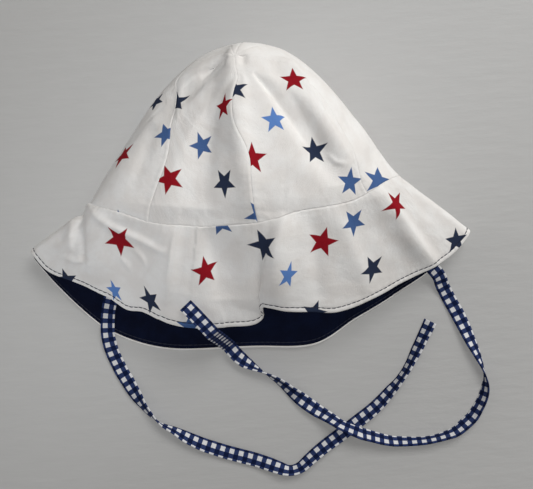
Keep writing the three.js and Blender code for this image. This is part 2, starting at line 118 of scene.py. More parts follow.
# the rim from the head seam at each turn, in shares of the brim's width
RIM = np.array([
    [4, 0.618, -0.55, -0.345], [11, 0.5, -0.66, -0.41], [24, 0.39, -0.71, -0.47],
    [41, 0.27, -0.78, -0.51], [53, 0.18, -0.86, -0.46], [63, 0.08, -0.91, -0.4],
    [70, -0.02, -0.87, -0.34], [76, -0.08, -0.83, -0.31], [80, -0.1, -0.77, -0.34],
    [83, -0.08, -0.78, -0.44], [87, -0.02, -0.86, -0.56], [92, 0.02, -0.93, -0.57],
    [99, 0.0, -0.94, -0.53], [108, -0.09, -0.935, -0.46], [116, -0.17, -0.885, -0.43],
    [124, -0.24, -0.78, -0.47], [130, -0.285, -0.765, -0.5], [137, -0.34, -0.65, -0.53],
    [151, -0.43, -0.555, -0.52], [168, -0.56, -0.49, -0.43], [176, -0.64, -0.38, -0.353],
    [183, -0.654, -0.36, -0.346], [190, -0.56, -0.456, -0.265], [205, -0.38, -0.676, -0.1],
    [224, -0.33, -0.82, 0.0], [248, -0.25, -0.95, 0.0], [268, -0.11, -0.97, 0.05],
    [286, 0.0, -1.015, 0.06], [302, 0.08, -0.845, 0.03], [327, 0.17, -0.72, 0.0],
    [349, 0.368, -0.647, -0.243], [357, 0.61, -0.53, -0.338],
])


def step(x, low, high):
    """The soft step: 3 t squared minus 2 t cubed, of the share of the way from low to high."""
    t = np.clip((x - low) / (high - low), 0.0, 1.0)
    return t * t * (3 - 2 * t)


def mix(a, b, share):
    """A straight line from a to b."""
    return a + (b - a) * share


def through(places, values, at, period=None):
    """A smooth curve through a table: between two rows a cubic, with each row's slope from its neighbours."""
    places, values, at = np.asarray(places, float), np.asarray(values, float), np.asarray(at, float)
    if period:
        at = (at - places[0]) % period + places[0]
        places = np.concatenate([places[-2:] - period, places, places[:3] + period])
        values = np.concatenate([values[-2:], values, values[:3]])
    last = len(places) - 1
    i = np.clip(np.searchsorted(places, at, side="right") - 1, 0, last - 1)
    before, after = np.maximum(i - 1, 0), np.minimum(i + 2, last)
    length = places[i + 1] - places[i]
    t = np.clip((at - places[i]) / length, 0.0, 1.0)
    start_slope = (values[i + 1] - values[before]) / (places[i + 1] - places[before])
    end_slope = (values[after] - values[i]) / (places[after] - places[i])
    return mix(values[i], values[i + 1], t * t * (3 - 2 * t)) + length * t * (1 - t) * (
        (1 - t) * start_slope - t * end_slope)


def crown_point(turn, along):
    """A ring's point: cosine across, and a power of the sine from the side point to the front or back one."""
    half, middle, front_y, front_z, side_y, side_z, back_y, back_z = (
        through(RINGS[:, 0], RINGS[:, k], along) for k in range(1, 9))
    sine, cosine = np.sin(np.radians(turn)), np.cos(np.radians(turn))
    front, round_share = sine >= 0, step(along, 0.05, 0.5)
    reach_x = np.abs(cosine) ** mix(1, np.where(front, 1, 0.8), round_share)
    reach_y = np.abs(sine) ** mix(1, np.where(front, 1, 0.7), round_share)
    reach_z = np.abs(sine) ** mix(1, np.where(front, 0.8, 0.7), round_share)
    x = CROWN_WIDTH / 2 * (middle + half * reach_x * np.sign(cosine))
    y = CROWN_LENGTH * mix(side_y, np.where(front, front_y, back_y), reach_y)
    z = CROWN_HEIGHT * mix(side_z, np.where(front, front_z, back_z), reach_z)
    lift = 0.0
    for top, low, start, end, spread, height in CROWN_FOLDS:
        share = np.clip((along - start) / (end - start), 0.0, 1.0)
        bell = np.exp(-((turn % 360 - mix(top, low, share)) / spread) ** 2)
        lift = lift + height * CROWN_HEIGHT * np.abs(np.sin(np.pi * share)) ** 0.7 * bell
    return np.stack([x + lift * cosine, y, np.maximum(0, z + lift * np.abs(sine))], -1)


def hat_point(turn, reach):
    """The crown up to reach 1, then straight out to the rim's offset, with an arch that a sine gives."""
    turn, reach = np.broadcast_arrays(np.asarray(turn, float), np.asarray(reach, float))
    point = crown_point(turn, np.minimum(reach, 1.0))
    out = np.maximum(reach - 1, 0.0)
    for axis in range(3):
        point[..., axis] += BRIM_WIDTH * out * through(RIM[:, 0], RIM[:, axis + 1], turn, 360)
    arch = np.sin(np.pi * np.minimum(out, 1.0))
    sideways = np.cos(np.radians(turn)) ** 5
    point[..., 0] += SIDE_ARCH * 0.6 * arch * sideways
    point[..., 1] += SIDE_ARCH * 0.8 * arch * np.abs(sideways)
    point[..., 2] += BRIM_ARCH * arch * np.maximum(0, np.sin(np.radians(turn)))
    point[..., 2] = np.maximum(point[..., 2], 0.0)
    return point


def unit(vectors):
    """Each vector divided by its own length."""
    return vectors / (np.linalg.norm(vectors, axis=-1, keepdims=True) + 1e-12)


def hat_normal(turn, reach):
    """Outward: the direction round the hat crossed with the direction down it, averaged across a bend."""
    around = hat_point(turn + 0.5, reach) - hat_point(turn - 0.5, reach)
    here = hat_point(turn, reach)
    up = unit(here - hat_point(turn, np.maximum(0.002, reach - 0.02)))
    down = unit(hat_point(turn, np.minimum(2.0, reach + 0.02)) - here)
    return unit(np.cross(around, up + down))


print("rim is", round(float(np.ptp(hat_point(np.arange(360.0), 2.0)[:, 0])), 1), "mm across")

# %% [markdown]
# ## The ties
# Each tie is a strip of gingham folded to three checks wide, limp, and laid down in loose curves that
# roll on edge where they bend. A cloth strip bends easily one way only, so a round curve object would
# look wrong. Instead a flat oval section is carried along a path of points, and a roll angle says how far
# it has turned on its edge. The height comes from whatever is below: the table, the back brim, the other
# tie or the front brim.

# %% Routes of the ties: x and y in metres, and roll in degrees
LEFT_ROUTE = np.array([
    (-0.075, -0.024, 0), (-0.085, -0.042, 0), (-0.093, -0.061, 0), (-0.096, -0.076, 0), (-0.0955, -0.089, 0),
    (-0.091, -0.103, 0), (-0.0865, -0.1125, 8), (-0.082, -0.121, 25), (-0.078, -0.128, 51),
    (-0.0735, -0.1345, 66), (-0.0675, -0.141, 90), (-0.059, -0.146, 112), (-0.050, -0.152, 139),
    (-0.041, -0.157, 154), (-0.027, -0.163, 168), (-0.013, -0.168, 170), (-0.003, -0.172, 163),
    (0.004, -0.175, 148), (0.011, -0.1775, 128), (0.0175, -0.1765, 132), (0.024, -0.172, 142),
    (0.031, -0.167, 150), (0.042, -0.160, 160), (0.054, -0.1525, 160), (0.0675, -0.1435, 150),
    (0.074, -0.138, 143), (0.0795, -0.1325, 132), (0.085, -0.127, 118), (0.090, -0.121, 117),
    (0.094, -0.115, 121), (0.098, -0.1085, 132), (0.102, -0.102, 136), (0.1085, -0.091, 148),
])
RIGHT_ROUTE = np.array([
    (0.080, -0.022, 0), (0.098, -0.042, 0), (0.114, -0.060, 0), (0.118, -0.069, 0), (0.1225, -0.079, 0),
    (0.1265, -0.0885, -5), (0.130, -0.0975, -20), (0.133, -0.106, -35), (0.136, -0.114, -52),
    (0.1385, -0.1215, -70), (0.140, -0.129, -90), (0.1395, -0.136, -114), (0.1375, -0.142, -124),
    (0.134, -0.148, -129), (0.130, -0.1535, -136), (0.1245, -0.158, -136), (0.1185, -0.162, -128),
    (0.112, -0.164, -118), (0.104, -0.1655, -114), (0.095, -0.166, -117),
    (0.078, -0.1645, -128), (0.0625, -0.159, -136), (0.056, -0.156, -136),
    (0.050, -0.153, -130), (0.044, -0.1495, -130), (0.0375, -0.145, -141), (0.0315, -0.141, -156),
    (0.025, -0.1355, -173), (0.018, -0.129, -213), (0.0115, -0.1225, -235), (0.0055, -0.1175, -250),
    (-0.0005, -0.1135, -270), (-0.0065, -0.1095, -300), (-0.011, -0.106, -326), (-0.0155, -0.1015, -350),
    (-0.0195, -0.096, -360), (-0.0235, -0.090, -362), (-0.028, -0.0835, -362), (-0.034, -0.075, -362),
    (-0.042, -0.065, -362),
])
TIE_WIDTH, TIE_THICKNESS, TIE_CLEARANCE, RIGHT_CLIMB = 9.0, 1.2, 0.5, 0.7


def smooth_path(points, share):
    """The curve through points, each with the slope between its two neighbours, at shares of its points."""
    rows = np.arange(len(points)) / (len(points) - 1)
    return np.stack([through(rows, points[:, k], share) for k in range(points.shape[1])], -1)


def height_field(from_turn, to_turn, depth):
    """A table of the highest cloth in each square millimetre, and a function that reads it."""
    turn, reach = np.meshgrid(np.arange(from_turn, to_turn, 0.2), np.arange(0.8, 2.0, 0.006), indexing="ij")
    points = (hat_point(turn, reach) - depth * hat_normal(turn, reach)).reshape(-1, 3)
    half = 200
    field = np.zeros((2 * half, 2 * half))
    cell = np.round(points[:, :2] + half).astype(int)
    np.maximum.at(field, (cell[:, 0], cell[:, 1]), points[:, 2])
    return lambda x, y: field[np.round(x + half).astype(int), np.round(y + half).astype(int)]


def tie_line(route, height_at, steps=150):
    """Plan from the route; height is the highest thing under the strip plus half its section, smoothed."""
    share = np.linspace(0, 1, steps + 1)
    plan = smooth_path(route[:, :2] / MM, share)
    roll = np.radians(smooth_path(route[:, 2:], share)[:, 0])
    ahead = unit(np.gradient(plan, axis=0))
    half = TIE_WIDTH / 2 * np.abs(np.cos(roll)) + TIE_THICKNESS / 2
    sides = np.array([-1, -0.5, 0, 0.5, 1])[:, None] * half
    under = height_at(plan[:, 0] - ahead[:, 1] * sides, plan[:, 1] + ahead[:, 0] * sides, share)
    lift = TIE_WIDTH / 2 * np.abs(np.sin(roll)) + TIE_THICKNESS / 2 * np.abs(np.cos(roll))
    height = under.max(0) + TIE_CLEARANCE + lift
    place = np.arange(steps + 1)
    near = np.abs(place[:, None] - place) <= 3
    highest = np.where(near, height[None], -1e9).max(1)
    soft = (near * highest[None]).sum(1) / near.sum(1)
    return np.column_stack([plan, soft]), roll


back_inside = height_field(176, 364, 2.5)
front_outside = height_field(20, 160, 0.0)
left_line, left_roll = tie_line(LEFT_ROUTE, lambda x, y, share: back_inside(x, y))


def left_tie_top(x, y):
    """The left tie's upper side where it passes within a little over half its width, else the table."""
    away = np.hypot(x[..., None] - left_line[:, 0], y[..., None] - left_line[:, 1])
    return np.where(away < TIE_WIDTH * 0.6, 2 * left_line[:, 2] + TIE_CLEARANCE, 0.0).max(-1)


def under_right_tie(x, y, share):
    """The highest of the back brim, the left tie and, near the free end, the front brim."""
    climbed = np.where(share > RIGHT_CLIMB, front_outside(x, y), 0.0)
    return np.maximum(np.maximum(back_inside(x, y), left_tie_top(x, y)), climbed)


right_line, right_roll = tie_line(RIGHT_ROUTE, under_right_tie)
for name, line in (("left", left_line), ("right", right_line)):
    print(name, "tie is", round(float(np.linalg.norm(np.diff(line, axis=0), axis=1).sum())), "mm long")

# %% [markdown]
# ## From a grid of points to a mesh
# Blender keeps a mesh as lists of points and of face corners. A grid already has an order, so its faces
# are plain arithmetic on point numbers, and foreach_set hands whole arrays over at once. A cloth wall is
# two grids, the outer and the inner side, whose edges are joined so that the piece is closed.

# %% Mesh helpers


def grid_faces(columns, rows, join_columns=False, join_rows=False):
    """The four point numbers of each face between neighbouring points, perhaps joined round to the start."""
    i = np.arange(columns if join_columns else columns - 1)[:, None]
    j = np.arange(rows if join_rows else rows - 1)[None, :]
    after_i, after_j = (i + 1) % columns, (j + 1) % rows
    corners = [i * rows + j, after_i * rows + j, after_i * rows + after_j, i * rows + after_j]
    return np.stack(np.broadcast_arrays(*corners), -1).reshape(-1, 4)


def mesh_object(name, points, faces, uv, finish):
    """Puts points in millimetres and faces into a mesh, with smooth shading and a UV in millimetres."""
    mesh = bpy.data.meshes.new(name)
    mesh.vertices.add(len(points))
    mesh.vertices.foreach_set("co", (points * MM).astype(np.float32).ravel())
    mesh.loops.add(faces.size)
    mesh.loops.foreach_set("vertex_index", faces.ravel().astype(np.int32))
    mesh.polygons.add(len(faces))
    mesh.polygons.foreach_set("loop_start", np.arange(0, faces.size, faces.shape[1], dtype=np.int32))
    mesh.update(calc_edges=True)
    mesh.polygons.foreach_set("use_smooth", np.ones(len(faces), dtype=bool))
    layer = mesh.uv_layers.new(name="cloth")
    layer.data.foreach_set("uv", uv[faces.ravel()].astype(np.float32).ravel())
    mesh.materials.append(finish.material)
    thing = put_in_scene(name, mesh)
    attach(thing, "root")
    print(name, len(points), "points,", len(faces), "faces")
    return thing


def close_wall(columns, rows, joined):
    """Faces of a wall whose columns run down the outside and back up the inside, with caps at its ends."""
    faces = grid_faces(columns, rows, join_columns=joined, join_rows=True)
    if joined:
        return faces
    j = np.arange(rows // 2 - 1)
    cap = np.stack([j, j + 1, rows - 2 - j, rows - 1 - j], -1)
    return np.concatenate([faces, cap, cap[:, ::-1] + (columns - 1) * rows])


def weld(thing, distance=1e-6):
    """Merges points that lie on each other, as at the crown's top, where a grid closes to one point."""
    work = bmesh.new()
    work.from_mesh(thing.data)
    bmesh.ops.remove_doubles(work, verts=work.verts, dist=distance)
    work.to_mesh(thing.data)
    work.free()


# %% [markdown]
# ## Shader arithmetic
# A cloth pattern is a formula on a few coordinates, and drawing that as dozens of Math nodes by hand is
# slow to read. A small class that wraps a socket lets Python's own signs add the nodes, so the star and
# the checks below read as the formulas they are.

# %% A class for sockets and a class for finishes


class Wire:
    """A number that runs along a node link. Its arithmetic adds Math nodes."""

    def __init__(self, finish, socket):
        self.finish, self.socket = finish, socket

    def math(self, operation, *others):
        """A Math node of that operation, on this number and the others."""
        return self.finish.node("Math", {"operation": operation}, dict(enumerate((self, *others))))

    def __add__(self, other): return self.math("ADD", other)
    def __radd__(self, other): return self.math("ADD", other)
    def __sub__(self, other): return self.math("SUBTRACT", other)
    def __rsub__(self, other): return (self * -1).math("ADD", other)
    def __mul__(self, other): return self.math("MULTIPLY", other)
    def __rmul__(self, other): return self.math("MULTIPLY", other)
    def __truediv__(self, other): return self.math("DIVIDE", other)
    def __mod__(self, other): return self.math("FLOORED_MODULO", other)
    def __gt__(self, other): return self.math("GREATER_THAN", other)
    def __abs__(self): return self.math("ABSOLUTE")

    def soft(self, low, high):
        """0 below low, 1 above high, and a soft step between."""
        settings = {"interpolation_type": "SMOOTHSTEP"}
        return self.finish.node("MapRange", settings, {"Value": self, "From Min": low, "From Max": high})


class Finish:
    """A material with a Principled shader, and one method that adds any other node."""

    def __init__(self, name, roughness):
        self.material = bpy.data.materials.new(name)
        self.material.use_nodes = True
        self.nodes, self.links = self.material.node_tree.nodes, self.material.node_tree.links
        self.shader = self.nodes["Principled BSDF"]
        self.shader.inputs["Roughness"].default_value = roughness

    def node(self, kind, settings=None, sockets=None, out=0):
        """Adds a node: its settings first, then its sockets' values or links. Gives one of its outputs."""
        node = self.nodes.new("ShaderNode" + kind)
        for key, value in (settings or {}).items():
            setattr(node, key, value)
        for key, value in (sockets or {}).items():
            self.feed(node.inputs[key], value)
        return Wire(self, node.outputs[out])

    def feed(self, socket, value):
        """Links a wire to a socket, or sets the socket to a plain value."""
        if isinstance(value, Wire):
            self.links.new(value.socket, socket)
        else:
            socket.default_value = value

    def colour(self, first, second, share):
        """The first colour, changed to the second by a share."""
        return self.node("Mix", {"data_type": "RGBA"}, {0: share, 6: first, 7: second}, out=2)

    def noise(self, vector, scale, detail=3.0):
        """Soft chance from 0 to 1, with that many patches to a unit of the vector."""
        return self.node("TexNoise", None, {"Vector": vector, "Scale": scale, "Detail": detail})

    def drawn_out(self, vector, scale):
        """The vector stretched, so that a noise on it makes streaks."""
        return self.node("Mapping", None, {"Vector": vector, "Scale": scale})

    def uv(self):
        """The piece's own cloth map, in millimetres, as a vector and its two numbers."""
        vector = self.node("UVMap", {"uv_map": "cloth"})
        parts = self.node("SeparateXYZ", None, {0: vector})
        return vector, parts, Wire(self, parts.socket.node.outputs[1])

    def bump(self, height, distance, under=None):
        """A relief of that height, a distance in metres deep, perhaps on top of another bump."""
        sockets = {"Height": height, "Distance": distance, "Strength": 1.0}
        if under is not None:
            sockets["Normal"] = under
        return self.node("Bump", None, sockets)

    def weave(self, u, v, pitch):
        """Plain weave: sine across times sine along, so that threads pass over and under in turn."""
        across, along = (u * (np.pi / pitch)).math("SINE"), (v * (np.pi / pitch)).math("SINE")
        return across * along

    def set(self, name, value):
        """Feeds one of the shader's own sockets."""
        self.feed(self.shader.inputs[name], value)


def linear(red, green, blue):
    """An 8-bit colour as the picture shows it, turned into light."""
    c = np.array([red, green, blue]) / 255
    return (*np.where(c <= 0.04045, c / 12.92, ((c + 0.055) / 1.055) ** 2.4), 1.0)


# %% [markdown]
# ## The star print
# Each star is a flat ink shape with five points. Every point of the cloth near a star carries that star's
# own coordinates in an attribute, with the ink's number as the third value. The shader then only has to
# know whether a place lies inside a five-pointed star: fold the angle into a tenth of a turn, and compare
# with one straight line from a tip to a notch. The edge stays sharp at any size, unlike a painted picture.

# %% Printed cotton
NOTCH = 0.42  # how far a star's notches lie from its middle, in shares of a tip's way
WEAVE = 0.42  # mm from thread to thread
RED, BLUE, SKY, NAVY = 1, 2, 3, 4
INKS = {RED: (0.28, 0.004, 0.012, 1), BLUE: (0.058, 0.12, 0.29, 1), SKY: (0.11, 0.235, 0.56, 1),
        NAVY: (0.020, 0.030, 0.064, 1)}

printed = Finish("printed_cotton", 0.88)
cloth, u, v = printed.uv()
print_place = printed.node("Attribute", {"attribute_name": "print_place"}, out=1)
star_x = printed.node("SeparateXYZ", None, {0: print_place})
star_y, ink = (Wire(printed, star_x.socket.node.outputs[k]) for k in (1, 2))
covered = printed.node("Attribute", {"attribute_name": "print_on"}, out=2)
angle = star_x.math("ARCTAN2", star_y)
tenth = abs((angle + np.pi / 5) % (2 * np.pi / 5) - np.pi / 5)
radius = (star_x * star_x + star_y * star_y).math("SQRT")
tip_way, notch_way = radius * tenth.math("COSINE"), radius * tenth.math("SINE")
line_x, line_y = NOTCH * np.cos(np.pi / 5) - 1, NOTCH * np.sin(np.pi / 5)
line_long = float(np.hypot(line_x, line_y))
beyond = ((tip_way - 1) * line_y - notch_way * line_x) / line_long
fuzz = printed.noise(cloth, 2.2, 2.0) - 0.5
inside = (beyond + fuzz * 0.03).soft(0.02, -0.03) * (covered > 0.999)
ink_colour = INKS[RED]
for number in (BLUE, SKY, NAVY):
    ink_colour = printed.colour(ink_colour, INKS[number], ink > number - 0.5)
patches = printed.noise(cloth, 0.06, 3.0)
slubs = printed.noise(printed.drawn_out(cloth, (0.25, 3.0, 1.0)), 1.0, 2.0)
white = printed.colour((0.80, 0.775, 0.75, 1), (0.855, 0.845, 0.83, 1), patches.soft(0.35, 0.65))
cross = printed.noise(printed.drawn_out(cloth, (3.0, 0.25, 1.0)), 1.0, 2.0)
white = printed.colour(white, (0.72, 0.70, 0.68, 1), (slubs + cross).soft(1.02, 1.4) * 0.45)
threads = printed.weave(u, v, WEAVE)
worn = 0.996 + threads * 0.004
ink_worn = printed.colour(ink_colour, (0.7, 0.68, 0.66, 1), threads.soft(0.6, 1.0) * 0.02)
printed.set("Base Color", printed.colour(white, ink_worn, inside * worn))
soft_waves = printed.bump(printed.noise(cloth, 0.11, 3.0), 0.0006)
fibres = printed.bump(printed.noise(cloth, 1.3, 3.0), 0.00012, soft_waves)
printed.set("Normal", printed.bump(threads * 0.5 + slubs * 0.6 + cross * 0.6, 0.00008, fibres))
printed.set("Roughness", 0.9 - inside * 0.06)
printed.set("Specular IOR Level", 0.06)
print("printed cotton has", len(printed.nodes), "nodes")

# %% [markdown]
# ## Navy cotton and the sewing thread
# The lining is a plain weave dyed one colour. Dark cotton shows lint and small changes of shade where it
# creases. The thread is a twisted cord, so its bump runs slantwise round each stitch.

# %% Navy cotton and thread
navy = Finish("navy_cotton", 0.9)
cloth, u, v = navy.uv()
threads = navy.weave(u, v, WEAVE)
shade = navy.noise(cloth, 0.07, 3.0)
base = navy.colour((0.0018, 0.0036, 0.015, 1), (0.003, 0.0065, 0.025, 1), shade.soft(0.35, 0.7))
lint = navy.noise(cloth, 1.7, 2.0).soft(0.74, 0.8)
base = navy.colour(base, (0.03, 0.04, 0.08, 1), lint * 0.4)
navy.set("Base Color", navy.colour(base, (0.005, 0.010, 0.036, 1), threads.soft(0.4, 1.0) * 0.4))
soft_waves = navy.bump(navy.noise(cloth, 0.11, 3.0), 0.0006)
navy.set("Normal", navy.bump(threads * 0.5 + navy.noise(cloth, 1.3, 3.0), 0.00007, soft_waves))
navy.set("Roughness", 0.86 + shade * 0.08)
navy.set("Specular IOR Level", 0.12)

thread = Finish("navy_thread", 0.7)
cloth, u, v = thread.uv()
twist = (u * 5.0 + v * 6.0).math("SINE")
lit_strand = twist.soft(-0.4, 1.0)
thread.set("Base Color", thread.colour((0.004, 0.007, 0.022, 1), (0.012, 0.018, 0.05, 1), lit_strand))
thread.set("Normal", thread.bump(twist, 0.00005))
print("navy cotton", len(navy.nodes), "nodes, thread", len(thread.nodes), "nodes")

# %% [markdown]
# ## Gingham
# Gingham has equal bands of white and navy threads both ways. The tie's map runs along it and across it
# in millimetres, so both bands are one formula: the place divided by a check's width, and whether the
# whole number is odd.

# %% Checked cotton
CHECK = 3.05  # mm a check
gingham = Finish("checked_cotton", 0.88)
cloth, u, v = gingham.uv()
uneven = (gingham.noise(cloth, 0.9, 2.0) - 0.5) * 0.35
bands = []
for place, offset in ((u, 0.0), (v, 0.95)):
    wave = (((place + uneven) / CHECK + offset) * np.pi).math("SINE")
    bands.append(wave.soft(-0.12, 0.12))
threads = gingham.weave(u, v, 0.34)
over = threads.soft(-0.35, 0.35)
warp_weft = bands[0] * over + bands[1] * (1 - over)
blended = bands[0] * 0.5 + bands[1] * 0.5
tone = warp_weft * 0.2 + blended * 0.8
fleck = gingham.noise(cloth, 0.5, 2.0)
dark = gingham.colour((0.0035, 0.008, 0.034, 1), (0.0055, 0.013, 0.055, 1), fleck)
crossed = gingham.colour((0.017, 0.031, 0.10, 1), (0.031, 0.050, 0.145, 1), fleck)
light = gingham.colour((0.66, 0.67, 0.70, 1), (0.78, 0.78, 0.79, 1), gingham.noise(cloth, 0.7, 2.0))
lower = gingham.colour(dark, crossed, tone.soft(0.05, 0.42))
gingham.set("Base Color", gingham.colour(lower, light, tone.soft(0.62, 0.92)))
soft_waves = gingham.bump(gingham.noise(cloth, 0.3, 3.0), 0.0004)
gingham.set("Normal", gingham.bump(threads * 0.7 + gingham.noise(cloth, 2.0, 2.0), 0.00008, soft_waves))
gingham.set("Roughness", 0.92 - tone * 0.06)
gingham.set("Specular IOR Level", 0.1)
print("gingham", len(gingham.nodes), "nodes")

# %% [markdown]
# ## The strip of a tie
# A folded strip of cotton is a flat oval in section. That section is carried along the line that was laid
# above and turned by the roll. A curve with a bevel would do the same with less code, but its edges would
# run dead straight, and pressed cotton wavers a little and cups across its width.

# %% Tie meshes


def tie_mesh(name, line, roll, seed, node):
    """A flat oval section carried along the line, turned by the roll, its width and edges a little uneven."""
    steps, sides = 460, 20
    length = np.concatenate([[0], np.cumsum(np.linalg.norm(np.diff(line, axis=0), axis=1))])
    place = np.linspace(0, length[-1], steps + 1)
    centre = np.stack([through(length, line[:, k], place) for k in range(3)], -1)
    turn = through(length, roll, place)
    ahead = unit(np.gradient(centre, axis=0))
    level = unit(np.stack([-ahead[:, 1], ahead[:, 0], 0 * place], -1))
    upright = np.cross(ahead, level)
    across = level * np.cos(turn)[:, None] + upright * np.sin(turn)[:, None]
    facing = np.cross(ahead, across)
    phase = np.random.default_rng(seed).uniform(0, 2 * np.pi, 6)
    uneven = sum(np.sin(place / size + phase[k]) for k, size in enumerate((2.1, 3.7, 6.5))) / 3
    cupped = sum(np.sin(place / size + phase[k + 3]) for k, size in enumerate((9.0, 17.0, 31.0))) / 3
    angle = np.linspace(0, 2 * np.pi, sides, endpoint=False) + np.pi / sides
    side = np.sign(np.cos(angle)) * np.abs(np.cos(angle)) ** 0.5
    face = np.sign(np.sin(angle)) * np.abs(np.sin(angle)) ** 0.55
    half = TIE_WIDTH / 2 * (0.985 + 0.015 * uneven)[:, None]
    a = side[None] * half + 0.12 * uneven[:, None]
    b = face[None] * TIE_THICKNESS / 2 * (0.86 + 0.12 * np.abs(side[None]) ** 6)
    b = b + 0.22 * cupped[:, None] * (side[None] ** 2 - 0.4)
    points = centre[:, None] + across[:, None] * a[..., None] + facing[:, None] * b[..., None]
    uv = np.stack(np.broadcast_arrays(place[:, None], a), -1)
    faces = grid_faces(steps + 1, sides, join_rows=True)[:, ::-1]
    j = np.arange(sides // 2 - 1)
    cap = np.stack([j, j + 1, sides - 2 - j, sides - 1 - j], -1)
    faces = np.concatenate([faces, cap[:, ::-1], cap + steps * sides])
    piece = mesh_object(name, points.reshape(-1, 3), faces, uv.reshape(-1, 2), gingham)
    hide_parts(node)


tie_mesh("left_tie", left_line, left_roll, 3, "tie_left")
tie_mesh("right_tie", right_line, right_roll, 4, "tie_right")

# %% [markdown]
# ## Small folds
# The table of rings gives the big shape. The creases that make cloth look like cloth are much smaller,
# and each is a stroke: a line across the picture, with a width on either side and a height. A point of
# the front cloth finds how far it is from the stroke, and a bell gives the lift there. A narrow width on
# one side makes a sharp edge, as where a flute of the brim turns over. Only the front has these strokes.

# %% Strokes: points in the picture, width on the left and on the right of the way, and lift in mm
STROKES = [
    # the ridge of the right gore, whose lower left side lies in shade, and its small wrinkles
    ([(282, 50), (300, 78), (311, 95), (323, 118), (337, 140), (350, 160)], 5.0, 11.0, 3.2),
    ([(270, 60), (289, 90), (303, 118), (320, 146), (334, 168)], 7.0, 7.0, -1.6),
    ([(308, 78), (317, 100)], 1.8, 2.2, -0.9),
    ([(322, 103), (328, 113), (333, 124)], 2.0, 2.0, -0.9),
    ([(337, 110), (345, 121), (348, 131)], 2.0, 2.5, -1.1),
    ([(327, 154), (336, 162), (347, 164)], 2.0, 2.5, 1.2),
    ([(372, 146), (375, 160), (380, 176)], 5.0, 8.0, -2.0),
    ([(352, 128), (362, 150), (363, 172)], 6.0, 5.0, 0.8),
    # the front seam stands on a crest, and the cloth falls away to its left into a wide valley
    ([(234, 54), (231, 72), (233, 90), (235, 113), (238, 133), (243, 157), (247, 175), (253, 222)],
     9.0, 14.0, 3.4),
    ([(212, 60), (206, 90), (203, 120), (203, 150), (201, 180), (198, 212)], 17.0, 70.0, -6.2),
    # the dents at the top left, and the hollow by the left seam
    ([(236, 48), (226, 53), (216, 61), (207, 69), (197, 76)], 3.0, 5.0, -2.8),
    ([(214, 57), (203, 60), (192, 66)], 3.5, 4.0, 1.6),
    ([(180, 72), (176, 92), (172, 118)], 4.0, 3.0, 1.2),
    ([(150, 112), (143, 150), (130, 190)], 7.0, 6.0, -1.3),
    ([(240, 46), (243, 56), (243, 66)], 4.0, 4.0, -1.6),
    ([(226, 48), (232, 44), (238, 50)], 3.0, 3.0, -1.2),
    # left part of the brim: a tall crest, a slanting one from the corner of the crown, and their branches
    ([(88, 200), (93, 220), (93, 245), (95, 268), (97, 286)], 17.0, 7.0, 4.6),
    ([(88, 203), (100, 216), (112, 225.5), (128, 234), (140, 239.5), (159, 249.5), (170, 251.7)],
     3.0, 3.5, 2.2),
    ([(178, 224), (175, 244), (173, 260), (169, 284), (162, 308)], 5.0, 22.0, 3.0),
    ([(174, 232), (172, 248), (170, 264), (167, 284)], 1.8, 1.8, 0.9),
    ([(161, 253), (152, 263), (149, 268), (145.5, 275)], 2.0, 2.0, 1.1),
    ([(119, 256), (127, 264), (130, 270.5)], 2.2, 2.2, 1.1),
    ([(132, 248), (140, 255), (144.5, 262), (145.5, 266)], 2.2, 2.2, 1.1),
    ([(80, 226), (84, 246), (86, 264)], 3.0, 4.0, -2.2),
    ([(72, 218), (72, 230), (66, 244), (54, 250)], 5.0, 5.0, 2.2),
    ([(83, 205), (80, 224)], 3.5, 3.5, -2.4),
    ([(74, 229), (71, 252)], 2.4, 3.0, 1.6),
    ([(62, 256), (75, 261), (85, 261), (97, 263)], 3.4, 2.2, 1.6),
    # middle of the brim: a valley, then a long slope up to the flute
    ([(208, 226), (212, 249), (219, 271), (222, 302)], 24.0, 11.0, -4.2),
    ([(284, 208), (280, 230), (277, 243), (276, 258), (274.5, 276), (268, 300), (266, 318)], 17.0, 7.0, 4.4),
    ([(280, 210), (277, 243), (274, 276), (264, 316)], 18.0, 32.0, 4.0),
    # right part of the brim
    ([(312, 214), (316, 250), (318, 304)], 9.0, 9.0, -2.2),
    ([(330, 203), (343, 230), (355, 257), (363, 276), (363, 297)], 9.0, 14.0, 2.2),
    ([(370, 184), (384, 200), (397, 215), (412, 238), (426, 255), (438, 268)], 7.0, 12.0, 5.0),
]


def stroke_lift(points):
    """The sum of every stroke's bell at points, from their distance to the stroke's line in the picture."""
    spot = to_picture(points).reshape(-1, 2)
    total = np.zeros(len(spot))
    for line, left, right, height in STROKES:
        line = np.array(line, float)
        start, way = line[:-1], np.diff(line, axis=0)
        length = np.linalg.norm(way, axis=1)
        low, high = line.min(0) - 3 * max(left, right), line.max(0) + 3 * max(left, right)
        near = np.all((spot > low) & (spot < high), axis=1)
        d = spot[near][:, None] - start
        share = np.clip((d * way).sum(-1) / length**2, 0, 1)
        away = d - share[..., None] * way
        far = np.linalg.norm(away, axis=-1)
        best = far.argmin(1)
        row = np.arange(len(best))
        side = np.sign(way[best, 0] * away[row, best, 1] - way[best, 1] * away[row, best, 0])
        width = np.where(side > 0, right, left)
        before = np.concatenate([[0], np.cumsum(length)])[best]
        run = (before + share[row, best] * length[best]) / length.sum()
        fade = np.sin(np.pi * np.clip(run, 0.02, 0.98)) ** 0.6
        total[near] += height * fade * np.exp(-((far[row, best] / width) ** 2))
    return total.reshape(points.shape[:-1])


WAVES = np.random.default_rng(11)
WAVE_WAYS = unit(WAVES.normal(size=(14, 3))) * (2 * np.pi / WAVES.uniform(14, 60, (14, 1)))
WAVE_STARTS = WAVES.uniform(0, 2 * np.pi, 14)


def slack(points):
    """Loose cotton is never quite even: a sum of sines in fixed chance directions, 14 to 60 mm long."""
    return np.sin(points @ WAVE_WAYS.T + WAVE_STARTS).sum(-1) / 14


